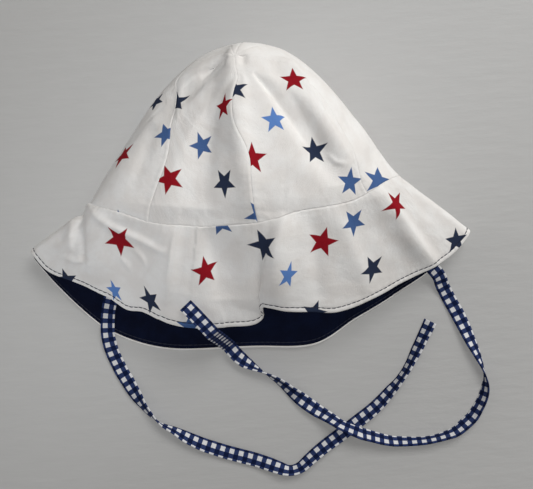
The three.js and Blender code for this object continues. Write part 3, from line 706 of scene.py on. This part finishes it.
def pucker(run, away, height=0.08, reach=3.5, size=4.6):
    """Stitches gather the cloth: a wave along the seam, that dies out with the distance from it."""
    wave = np.sin(2 * np.pi * run / size + 1.3 * np.sin(run / 11.0) + 0.8 * np.sin(run / 4.3))
    return height * wave * np.exp(-np.abs(away) / reach)


def front_share(turn):
    """1 on the front cloth, which the picture shows, and 0 on the back."""
    return step(np.sin(np.radians(turn)), -0.12, 0.05)


def soft_cloth(turn, reach):
    """The hat's point and outward direction, lifted by strokes and slack."""
    point, normal = hat_point(turn, reach), hat_normal(turn, reach)
    lift = stroke_lift(point) * front_share(turn) + 0.9 * slack(point) * step(reach, 0.1, 0.4)
    lift = lift * mix(0.25, 1.0, front_share(turn))
    return point + normal * lift[..., None], normal


# %% [markdown]
# ## The gores of the crown
# Six panels, each a tall triangle with curved sides, meet at the top. The cloth turns in at each seam, so
# a gore's edge dips into a narrow groove and the stitches pucker it. A crown modelled as one surface with
# painted seams would miss that shadow. Each gore is a grid between two seams, with its columns closer
# together at its edges.

# %% Where the seams run
SEAMS = ["right", "front", "left", "back_left", "back", "back_right"]
# a seam's turn at the top and at its base, and the reach where it has settled at its base turn
SEAM_TURNS = {"right": (5, 40, 0.95), "front": (112, 87, 0.7), "back_left": (234, 218, 0.9),
              "back": (270, 268, 0.9), "back_right": (318, 332, 0.9)}
# the left seam follows the crown's outline at the top, and turns down the front only below that
LEFT_SEAM = np.array([
    [0.0, 200], [0.2, 199], [0.3, 193], [0.36, 186], [0.39, 179], [0.42, 165], [0.45, 152], [0.51, 142],
    [0.6, 134], [0.74, 128.5], [1.0, 128.5],
])
# the head seam's reach at a few turns: it lies a little high on the right and low left of the middle
HEAD_SEAM = np.array([
    [1, 0.975], [10, 0.955], [20, 0.942], [30, 0.945], [38, 0.96], [44, 0.977], [50, 0.988], [62, 0.986],
    [76, 0.99], [86, 1.024], [93, 1.036], [101, 1.05], [108, 1.045], [115, 1.03], [123, 1.02], [130, 1.0],
    [137, 0.977], [145, 0.96], [154, 0.955], [166, 0.965], [176, 0.985], [210, 1.0], [330, 1.0], [350, 0.995],
])
CROWN_RUN = 105.0  # mm of cloth from the crown's top to the head seam, near its base


def seam_turn(number, along):
    """A gore seam's turn: from its place at the top, softly over to its place at the head seam."""
    name = SEAMS[number % 6]
    if name == "left":
        turn = through(LEFT_SEAM[:, 0], LEFT_SEAM[:, 1], along)
    else:
        top, base, settled = SEAM_TURNS[name]
        turn = mix(top, base, step(along, 0, settled))
    return turn + 360 * (number // 6)


def seam_reach(turn):
    """The head seam's reach at a turn, from its table."""
    return through(HEAD_SEAM[:, 0], HEAD_SEAM[:, 1], turn, 360)


def from_seam(turn, reach):
    """Millimetres of cloth below the head seam: a crown's reach is longer than a brim's."""
    seam = seam_reach(turn)
    crown = np.minimum(reach, 1) - np.minimum(seam, 1)
    return CROWN_RUN * crown + BRIM_WIDTH * (np.maximum(reach, 1) - np.maximum(seam, 1))


print("head seam reach at the front and the right:", seam_reach(90.0).round(3), seam_reach(0.0).round(3))

# %% Gores
CLOTH = 0.7  # mm, the printed wall
SEAM_DIP, SEAM_WIDTH = 0.15, 0.5  # mm, a seam's groove


def even_ends(count, crowd=0.5):
    """Shares from 0 to 1, closer together at both ends."""
    x = np.linspace(0, 1, count)
    return mix(x, 0.5 - 0.5 * np.cos(np.pi * x), crowd)


def wall_mesh(name, outer, inner, uv, joined, finish):
    """Each column runs down the outer side and back up the inner one, and the wall is closed all round."""
    points = np.concatenate([outer, inner[:, ::-1]], axis=1)
    maps = np.concatenate([uv, uv[:, ::-1]], axis=1)
    faces = close_wall(points.shape[0], points.shape[1], joined)
    return mesh_object(name, points.reshape(-1, 3), faces, maps.reshape(-1, 2), finish)


def gore(number):
    """A grid of turn between two seams and reach from the top to the head seam, dipping at its edges."""
    share, down = even_ends(84), even_ends(128, 0.35)[None, :]
    first, last = 0.003, seam_reach(mix(seam_turn(number, 1.0), seam_turn(number + 1, 1.0), share))[:, None]
    reach = mix(first, last, down ** 1.05)
    turn = mix(seam_turn(number, reach), seam_turn(number + 1, reach), share[:, None])
    point, normal = soft_cloth(turn, reach)
    run = np.cumsum(np.linalg.norm(np.diff(point, axis=1, prepend=point[:, :1]), axis=-1), axis=1)
    wide = np.cumsum(np.linalg.norm(np.diff(point, axis=0, prepend=point[:1]), axis=-1), axis=0)
    to_side = np.minimum(wide, wide[-1] - wide)
    to_head = run[:, -1:] - run
    dip = SEAM_DIP * (np.exp(-((to_side / SEAM_WIDTH) ** 2)) + np.exp(-((to_head / SEAM_WIDTH) ** 2)))
    ridge = 0.14 * np.exp(-(((wide - 1.4) / 1.0) ** 2)) * step(run, 4, 20)
    lift = ridge + pucker(run, to_side) * step(run, 5, 25) + pucker(wide, to_head) - np.minimum(dip, SEAM_DIP)
    outer = point + normal * lift[..., None]
    inner = outer - normal * CLOTH
    name, following = SEAMS[number], SEAMS[(number + 1) % 6]
    uv = np.stack([wide - wide[-1:] / 2, run], -1)
    piece = wall_mesh(f"gore_{name}_to_{following}", outer, inner, uv, False, printed)
    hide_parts(f"crown_gore_{name}_to_{following}")
    return piece, turn, outer, inner


gores = [gore(number) for number in range(6)]

# %% [markdown]
# ## The brim and its hem
# The brim is one ring of cloth from the head seam to the rim. Outside and lining are sewn together, turned,
# and stitched again close to the edge, so the rim is a rounded roll with the printed cloth just showing on
# the inside, and a groove follows the stitches. One profile, carried all the way round, has the outside,
# the roll and the turned-in edge.

# %% The brim's profile
BRIM_COLUMNS = 720
HEM, ROLL, TURNED_IN = 3.4, 0.8, 0.35  # mm: stitches from the rim, half the rolled rim, cloth turned in
RIM_DEGREE, SEAM_DEGREE = 2.15, 1.25  # mm of rim and of head seam to a degree
MAP_DEGREE = 2.0  # mm of the brim's cloth map to a degree


def brim_profile(turn):
    """Reach and depth of the profile's points: down the outside, round the rim and back under the hem."""
    start = seam_reach(turn)
    down = even_ends(58, 0.3)[None, :]
    outside = mix(start, 2 - ROLL / BRIM_WIDTH, down)
    around = np.linspace(0, np.pi, 9)[None, 1:-1]
    rim = 2 - ROLL / BRIM_WIDTH * (1 - np.sin(around)) + 0 * turn
    under = 2 - (ROLL + TURNED_IN * np.linspace(0, 1, 4)[None, :]) / BRIM_WIDTH + 0 * turn
    back = mix(2 - (ROLL + TURNED_IN) / BRIM_WIDTH, start, even_ends(24, 0.3)[None, 1:])
    depth = np.concatenate([0 * outside, ROLL * (1 - np.cos(around)) + 0 * turn, 2 * ROLL + 0 * under,
                            CLOTH + 0 * back], axis=1)
    return np.concatenate([outside, rim, under, back], axis=1), depth


def hem_lift(turn, reach):
    """The pressed hem: a groove at the stitches, a soft roll outside it, and small gathers above it."""
    to_rim = (2 - reach) * BRIM_WIDTH
    groove = -0.28 * np.exp(-(((to_rim - HEM) / 0.55) ** 2)) + 0.15 * np.exp(-(((to_rim - 1.8) / 1.0) ** 2))
    return groove + pucker(turn * RIM_DEGREE, to_rim - HEM, 0.1, 3.0, 5.2) * step(to_rim, 0, 1.5)


# %% Brim
brim_turn = np.linspace(0, 360, BRIM_COLUMNS, endpoint=False)[:, None] + 0.25
brim_reach, depth = brim_profile(brim_turn)
brim_turn = np.broadcast_to(brim_turn, brim_reach.shape)
point, normal = soft_cloth(brim_turn, brim_reach)
along = from_seam(brim_turn, brim_reach)
dip = SEAM_DIP * np.exp(-((along / SEAM_WIDTH) ** 2))
lift = hem_lift(brim_turn, brim_reach) + pucker(brim_turn * SEAM_DEGREE, along, 0.09, 4.0, 4.2) - dip
brim_points = point + normal * (lift - depth)[..., None]
brim_map = np.stack([brim_turn * MAP_DEGREE, along - depth * 0.5], -1)
faces = grid_faces(BRIM_COLUMNS, brim_reach.shape[1], join_columns=True, join_rows=True)
brim = mesh_object("brim_outside", brim_points.reshape(-1, 3), faces, brim_map.reshape(-1, 2), printed)
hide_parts("brim")

# %% [markdown]
# ## The linings
# The lining is a second hat inside the first. On the back brim it faces up and shows as the dark shape
# under the front. It follows the same function one depth further in, and stops at the turned-in edge.

# %% Linings


def lining_wall(turn, reach, outer_depth, inner_depth):
    """The same cloth at two depths, as outer and inner grids."""
    point, normal = soft_cloth(turn, reach)
    lift = 0.35 * slack(point * 1.7 + 40)
    return [point + normal * (lift - depth)[..., None] for depth in (outer_depth, inner_depth)]


around = np.linspace(0, 360, 540, endpoint=False)[:, None]
to_hem = 2 - (ROLL + TURNED_IN + 0.03) / BRIM_WIDTH
reach = mix(seam_reach(around), to_hem, even_ends(36, 0.3)[None])
turn = np.broadcast_to(around, reach.shape)
to_rim = (2 - reach) * BRIM_WIDTH
drawn_in = step(to_rim, 14, 2)
outer, inner = lining_wall(turn, reach, mix(1.4, 0.9, drawn_in), mix(2.2, 1.65, drawn_in))
gathered = pucker(turn * RIM_DEGREE, to_rim - HEM, 0.14, 3.0, 5.2)
groove = 0.3 * np.exp(-(((to_rim - HEM) / 0.6) ** 2)) + gathered
inner = inner + hat_normal(turn, reach) * groove[..., None]
uv = np.stack([turn * MAP_DEGREE, (reach - 1) * BRIM_WIDTH], -1)
brim_inside = wall_mesh("brim_inside", outer, inner, uv, True, navy)
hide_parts("brim_lining")

around = np.linspace(0, 360, 300, endpoint=False)[:, None]
reach = mix(0.004, seam_reach(around), np.linspace(0, 1, 90)[None] ** 1.1)
turn = np.broadcast_to(around, reach.shape)
outer, inner = lining_wall(turn, reach, 1.5 + 0 * turn, 2.3 + 0 * turn)
outer[:, 0], inner[:, 0] = outer[:, 0].mean(0), inner[:, 0].mean(0)
uv = np.stack([turn * 1.2, reach * PANEL_LENGTH], -1)
crown_inside = wall_mesh("crown_inside", outer, inner, uv, True, navy)
weld(crown_inside)
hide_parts("crown_lining")

# %% [markdown]
# ## The stitches along the rim
# A row of navy stitches runs a few millimetres from the rim, and at this size each stitch is a short
# rounded bar that sinks into the cloth at both ends. A painted dashed line would have no shadow. All of
# the stitches are one array: a stitch's number, its rings and its sides are three axes.

# %% Stitches
STITCH, STITCH_GAP, THREAD = 3.2, 0.08, 0.32  # mm: a stitch, the gap to the next, half the thread
HEM_DEPTH = 1.65  # mm from the outside of the hem to its inside
BAR_RINGS, BAR_SIDES = 7, 6


def stitch_row(name, on_inside):
    """Bars along the stitch line: a half sine lifts each bar's middle, and a circle is its section."""
    dense = np.linspace(0, 360, 7201)
    reach = 2 - HEM / BRIM_WIDTH + 0 * dense
    point, normal = soft_cloth(dense, reach)
    lift = hem_lift(dense, reach) - (HEM_DEPTH if on_inside else 0.0)
    point = point + normal * lift[:, None]
    run = np.concatenate([[0], np.cumsum(np.linalg.norm(np.diff(point, axis=0), axis=1))])
    count = int(run[-1] // (STITCH + STITCH_GAP))
    pitch = run[-1] / count
    ring = np.linspace(0, 1, BAR_RINGS)
    place = (np.arange(count)[:, None] + ring[None] * STITCH / (STITCH + STITCH_GAP)) * pitch
    centre, out = (np.stack([np.interp(place, run, line[:, k]) for k in range(3)], -1)
                   for line in (point, normal))
    out = unit(out) * (-1 if on_inside else 1)
    ahead = unit(np.gradient(centre, axis=1))
    side = np.cross(ahead, out)
    thick = THREAD * np.sin(np.pi * np.clip(ring, 0.06, 0.94))[None, :, None] ** 0.4
    rise = (0.26 * np.sin(np.pi * ring) ** 0.5 - 0.1)[None, :, None]
    angle = np.linspace(0, 2 * np.pi, BAR_SIDES, endpoint=False)
    section = side[:, :, None] * np.cos(angle)[:, None] + out[:, :, None] * np.sin(angle)[:, None]
    points = (centre + out * rise)[:, :, None] + section * thick[..., None]
    faces, last = grid_faces(BAR_RINGS, BAR_SIDES, join_rows=True), (BAR_RINGS - 1) * BAR_SIDES
    near_cap = np.array([[0, 1, 2, 3], [0, 3, 4, 5]])
    one = np.concatenate([faces, near_cap, near_cap[:, ::-1] + last])
    one = one if on_inside else one[:, ::-1]
    faces = (one[None] + BAR_RINGS * BAR_SIDES * np.arange(count)[:, None, None]).reshape(-1, 4)
    uv = np.stack(np.broadcast_arrays(place[..., None], angle), -1)
    print(count, "stitches")
    mesh_object(name, points.reshape(-1, 3), faces, uv.reshape(-1, 2), thread)


stitch_row("rim_stitches", False)
stitch_row("inside_stitches", True)

# %% [markdown]
# ## Where the stars are
# A printed star is placed in the picture, and sits on the cloth that the picture shows there: the
# table below holds its centre, its lean, how wide and tall it is, its ink and the panel that carries it.
# The cloth's own point is found by looking for the nearest projected place of the front. Stars on the
# hidden back are scattered in the same way by a seeded chance, because the print goes on all round.

# %% Star table
# picture x and y, lean to the left in degrees, wide, tall, ink, and the gore's number or the brim
STARS = [
    # crown
    (150.5, 97, -20, 0.9, 0.9, NAVY, 2), (176, 103.3, 22, 1.15, 1.2, NAVY, 1),
    (165.8, 134.5, 27, 1, 1, BLUE, 2), (123, 155, -30, 1.15, 1.15, RED, 2),
    (223.4, 106.6, 13, 0.76, 1.05, RED, 1), (202, 145.6, 21, 0.88, 1.04, BLUE, 1),
    (169, 179.4, 23, 1.1, 1.1, RED, 1), (224.2, 183, 180, 0.85, 1.08, NAVY, 1),
    (260, 214.5, 40, 1.15, 1.15, BLUE, 1), (119.5, 223.5, 0, 1, 1, BLUE, 2),
    (234.3, 89, 18, 1, 1, NAVY, 0), (293.2, 79.6, 2, 1, 1.08, RED, 0),
    (274.4, 119.5, 6, 0.93, 1, SKY, 0), (314.4, 151.4, 8, 0.96, 1.04, NAVY, 0),
    (252.3, 158.5, -2, 1.1, 1.14, RED, 0), (350.2, 182, -4, 0.9, 1.04, BLUE, 0),
    (378.5, 180.5, -14, 1.4, 1.1, BLUE, 5),
    # brim
    (119.8, 239.8, 28, 1.2, 1.3, RED, "brim"), (66.5, 281, 6, 1, 1, NAVY, "brim"),
    (115, 291, 0, 0.7, 0.96, SKY, "brim"), (150.5, 300, 8, 0.92, 1.2, NAVY, "brim"),
    (220.5, 223.5, 13, 1, 1, BLUE, "brim"), (205.3, 271.2, 17, 1, 1.2, RED, "brim"),
    (264.8, 245.5, 8, 1.13, 1.22, NAVY, "brim"), (189.5, 326, 0, 1, 1, BLUE, "brim"),
    (288.7, 275.5, -3, 0.78, 1.08, SKY, "brim"), (322.4, 242, -14, 1.12, 1.16, RED, "brim"),
    (353.5, 222.3, -28, 1, 1.05, BLUE, "brim"), (396.5, 203.8, 182, 1.16, 1.04, RED, "brim"),
    (372.3, 268.8, 183, 1.08, 1.14, NAVY, "brim"), (456, 240.5, 10, 1, 1, NAVY, "brim"),
    (313, 323.5, -13, 1, 1, NAVY, "brim"),
]
print(len(STARS), "stars in the picture")

# %% From the picture to the cloth
search_turn, search_reach = np.meshgrid(
    np.arange(-4, 184, 0.25), np.arange(0.02, 2.001, 0.005), indexing="ij")
search_point = soft_cloth(search_turn, search_reach)[0]
search_spot = to_picture(search_point)


def cloth_at(x, y):
    """Turn and reach of the front cloth at a place of the picture: the nearest, the higher of near ones."""
    away = np.hypot(search_spot[..., 0] - x, search_spot[..., 1] - y)
    score = away * 4 - search_point[..., 2] * 0.05
    best = np.unravel_index(score.argmin(), score.shape)
    return search_turn[best], search_reach[best]


def star_frame(turn, reach):
    """The soft cloth's point there, and its right and up in the plane that fits the cloth under the star."""
    a_degree = np.linalg.norm(hat_point(turn + 0.5, reach) - hat_point(turn - 0.5, reach))
    side, down = 4.0 / a_degree, 0.04
    around = np.array([[0, 0], [side, 0], [-side, 0], [0, down], [0, -down]])
    point = soft_cloth(turn + around[:, 0], np.clip(reach + around[:, 1], 0.01, 2.0))[0]
    normal = unit(np.cross(point[1] - point[2], point[3] - point[4]))
    up = np.array([np.sin(CAMERA_TURN), np.cos(CAMERA_TURN), 0.0])
    up = unit(up - normal * (up @ normal))
    return point[0], np.cross(up, normal), up, normal


stars = [(*cloth_at(x, y), lean, wide, tall, ink, panel) for x, y, lean, wide, tall, ink, panel in STARS]
chance = np.random.default_rng(5)
for reach, count in ((0.3, 4), (0.55, 6), (0.8, 7), (1.28, 9), (1.7, 9)):
    for k in range(count):
        turn = 196 + (k + chance.uniform(0.2, 0.8)) * 150 / count
        level = reach + chance.uniform(-0.07, 0.07)
        panel = "brim" if level > 1 else next(
            n for n in range(6) if seam_turn(n, level) <= turn < seam_turn(n + 1, level))
        stars.append((turn, level, chance.uniform(-30, 30), 1, 1, int(chance.integers(1, 5)), panel))
print(len(stars), "stars with those on the back")

# %% Print the stars on the cloth
STAR_RADIUS = 8.5  # mm from the middle to a tip
STAR_ROOM = 1.14  # the circle that carries a star's coordinates, in star radii
FAR_AWAY = 9.0


def print_stars(piece, panel, turn, points):
    """Writes each point's place in the nearest star of its panel, and whether it lies near enough to one."""
    flat, turns = points.reshape(-1, 3), turn.reshape(-1)
    place, on = np.full((len(flat), 3), FAR_AWAY), np.zeros(len(flat))
    nearest = np.full(len(flat), STAR_ROOM)
    for star_turn, star_reach, lean, wide, tall, ink, where in stars:
        if where != panel:
            continue
        centre, right, up, normal = star_frame(star_turn, star_reach)
        d = (flat - centre) / STAR_RADIUS
        x, y, off = d @ right / wide, d @ up / tall, np.abs(d @ normal)
        far = np.hypot(x, y)
        apart = np.abs((turns - star_turn + 180) % 360 - 180)
        near = (far < nearest) & (off < 1.0) & (apart < (30 if panel == "brim" else 90))
        a = np.radians(lean)
        place[near, 0] = (x * np.cos(a) + y * np.sin(a))[near]
        place[near, 1] = (y * np.cos(a) - x * np.sin(a))[near]
        place[near, 2], on[near], nearest[near] = ink, 1.0, far[near]
    for name, kind, key, values in (("print_place", "FLOAT_VECTOR", "vector", place),
                                    ("print_on", "FLOAT", "value", on)):
        attribute = piece.data.attributes.new(name, kind, "POINT")
        attribute.data.foreach_set(key, values.astype(np.float32).ravel())
    print(piece.name, "has", int(on.sum()), "points in the stars' circles")


for number, (piece, turn, outer, inner) in enumerate(gores):
    print_stars(piece, number, np.concatenate([turn, turn[:, ::-1]], axis=1),
                np.concatenate([outer, inner[:, ::-1]], axis=1))
print_stars(brim, "brim", brim_turn, brim_points)

# %% [markdown]
# ## Floor and light
# A painted board in pale grey, and a wide soft light from the picture's upper right, as from a window.
# White cotton shows its folds only where light comes in low. A low lamp would throw a long shadow, so
# that lamp casts none, as the bounce from a white wall would: it only makes one side of a fold brighter.
# A third, narrow lamp from the lower left casts none either. It is the light that a pale table throws
# back on the left part of the brim, whose folds turn away from the window.

# %% Floor
board = Finish("painted_board", 0.6)
place = board.node("TexCoord", out=3)
grain = board.noise(board.drawn_out(place, (45.0, 190.0, 1.0)), 1.0, 5.0)
blotch = board.noise(place, 5.0, 3.0)
worn = grain.soft(0.3, 0.7) * 0.3 + blotch * 0.6
board.set("Base Color", board.colour((0.48, 0.48, 0.475, 1), (0.51, 0.51, 0.505, 1), worn))
board.set("Normal", board.bump(grain, 0.0003))
floor_mesh = bpy.data.meshes.new("floor")
floor_mesh.from_pydata([(-3, -3, 0), (3, -3, 0), (3, 3, 0), (-3, 3, 0)], [], [(0, 1, 2, 3)])
floor_mesh.materials.append(board.material)
put_in_scene("floor", floor_mesh)
print("the floor's paint has", len(board.nodes), "nodes")

# %% Light
HAT_MIDDLE, LEFT_BRIM = (0.02, 0.0, 0.0), (-0.088, -0.037, 0.045)


def lamp(kind, name, place, aim, power, colour, **settings):
    """A lamp at a place, turned to its aim. The wider an area lamp is, the softer its shadows are."""
    data = bpy.data.lights.new(name, kind)
    data.energy, data.color = power, colour
    for key, value in settings.items():
        setattr(data, key, value)
    thing = put_in_scene(name, data)
    thing.location = place
    thing.rotation_euler = (Vector(aim) - Vector(place)).to_track_quat("-Z", "Y").to_euler()
    print("lamp", name, power, "W")


lamp("AREA", "window", (0.50, 0.75, 1.45), HAT_MIDDLE, 9.0, (1.0, 0.995, 0.985), shape="DISK", size=0.9)
lamp("AREA", "shaping", (1.42, 0.98, 1.02), HAT_MIDDLE, 20.0, (1.0, 0.99, 0.97), shape="DISK", size=0.6,
     use_shadow=False)
lamp("SPOT", "bounce", (-0.75, -0.55, 0.55), LEFT_BRIM, 20.0, (0.93, 0.96, 1.0), spot_size=np.radians(14),
     spot_blend=1.0, shadow_soft_size=0.1, use_shadow=False)
world = bpy.data.worlds.new("room")
world.use_nodes = True
sky = world.node_tree.nodes["Background"].inputs
sky["Color"].default_value, sky["Strength"].default_value = (1.0, 0.985, 0.97, 1.0), 0.22
bpy.context.scene.world = world
bpy.context.scene.view_settings.view_transform = "Standard"
